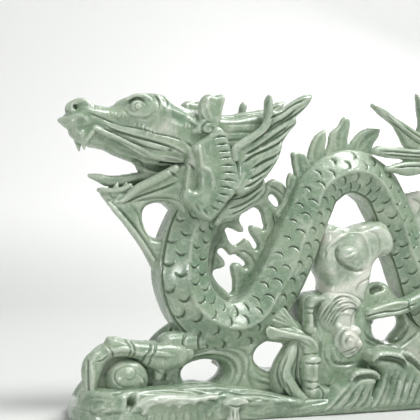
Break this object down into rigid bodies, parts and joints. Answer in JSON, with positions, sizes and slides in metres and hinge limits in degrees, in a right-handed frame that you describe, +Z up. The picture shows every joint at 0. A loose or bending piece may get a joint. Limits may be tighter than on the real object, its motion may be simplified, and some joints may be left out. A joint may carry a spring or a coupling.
{
  "type": "dragon figurine",
  "caption": "Free-standing carved serpentine jade dragon with an open mouth, an arched scaly body, clawed feet and a pearl, over a base of waves and clouds.",
  "frame": {"origin": "centre of the flat underside, in the plane that it rests on", "axes": "+X from the dragon's nose to its tail, +Y to the back of the carving, +Z up"},
  "size_m": [0.2503, 0.072, 0.165],
  "materials": {
    "jade_green": "hand-polished serpentine jade, mottled grey green",
    "jade_pale": "hand-polished serpentine jade, paler clouded green"
  },
  "bodies": {
    "root": {"base_slab": "jade_green", "body_plinth": "jade_green", "chest_bend": "jade_green", "chin_beard": "jade_green", "cloud_boss": "jade_pale", "cloud_knob": "jade_pale", "crown_mane": "jade_green", "eyes": "jade_green", "falling_body": "jade_green", "fins_hump": "jade_pale", "fins_rising": "jade_pale", "fins_tail": "jade_pale", "foreleg_far": "jade_green", "foreleg_front": "jade_green", "foreleg_side": "jade_green", "hind_leg_far": "jade_green", "hind_leg_near": "jade_green", "horn_far": "jade_green", "horn_near": "jade_green", "hump": "jade_green", "lower_jaw": "jade_green", "lower_lock_far": "jade_green", "lower_lock_near": "jade_green", "neck": "jade_green", "neck_fretwork_high": "jade_pale", "neck_fretwork_low": "jade_pale", "paw_front_far_toe": "jade_green", "paw_front_near_toe": "jade_green", "paw_front_thumb": "jade_green", "paw_side_claw": "jade_green", "paw_side_toe": "jade_green", "pearl": "jade_green", "rear_bend": "jade_green", "rising_body": "jade_green", "rock_core": "jade_green", "rock_right": "jade_green", "ruff_far": "jade_green", "ruff_near": "jade_green", "skull": "jade_green", "spout": "jade_pale", "tail": "jade_green", "tail_cloud": "jade_pale", "tail_end": "jade_green", "tail_flame_near": "jade_pale", "tail_flame_tall": "jade_pale", "tail_flames_low": "jade_pale", "tongue": "jade_green", "water_shelf": "jade_pale", "water_terrace": "jade_green", "wave_back_left": "jade_pale", "wave_back_middle": "jade_pale", "wave_back_right": "jade_pale", "wave_back_tail": "jade_pale", "wave_curls": "jade_pale", "wave_front_big": "jade_pale", "wave_front_small": "jade_pale", "wave_front_tail": "jade_pale", "wave_grip_claw": "jade_green", "wing_lock_far": "jade_green", "wing_lock_near": "jade_green"}
  },
  "joints": []
}
